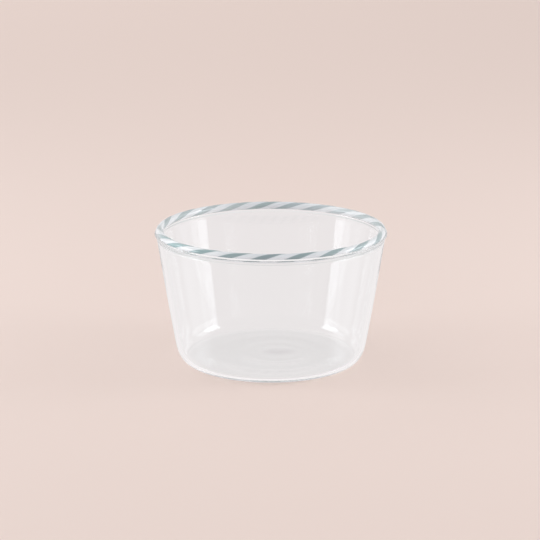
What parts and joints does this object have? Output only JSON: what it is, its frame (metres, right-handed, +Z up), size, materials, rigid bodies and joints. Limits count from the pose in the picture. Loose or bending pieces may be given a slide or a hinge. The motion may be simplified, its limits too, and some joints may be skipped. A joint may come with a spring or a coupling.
{
  "type": "dessert bowl",
  "caption": "Clear glass dessert bowl with a flared wall and flat base, and a twisted teal and white striped glass cane fused round its rim.",
  "frame": {"origin": "centre of the flat base, on the surface that the bowl stands on", "axes": "+Z up along the bowl's axis, from the base to the rim; +X and +Y are level, and -Y faces the camera of the picture"},
  "size_m": [0.12, 0.12, 0.07],
  "materials": {
    "clear_glass": "clear, fire polished",
    "teal_glass": "translucent, fire polished",
    "white_glass": "milky, fire polished"
  },
  "bodies": {
    "root": {"bowl_body": "clear_glass", "cane_core": "clear_glass", "teal_strand_1": "teal_glass", "teal_strand_2": "teal_glass", "white_strand_1": "white_glass", "white_strand_2": "white_glass"}
  },
  "joints": []
}
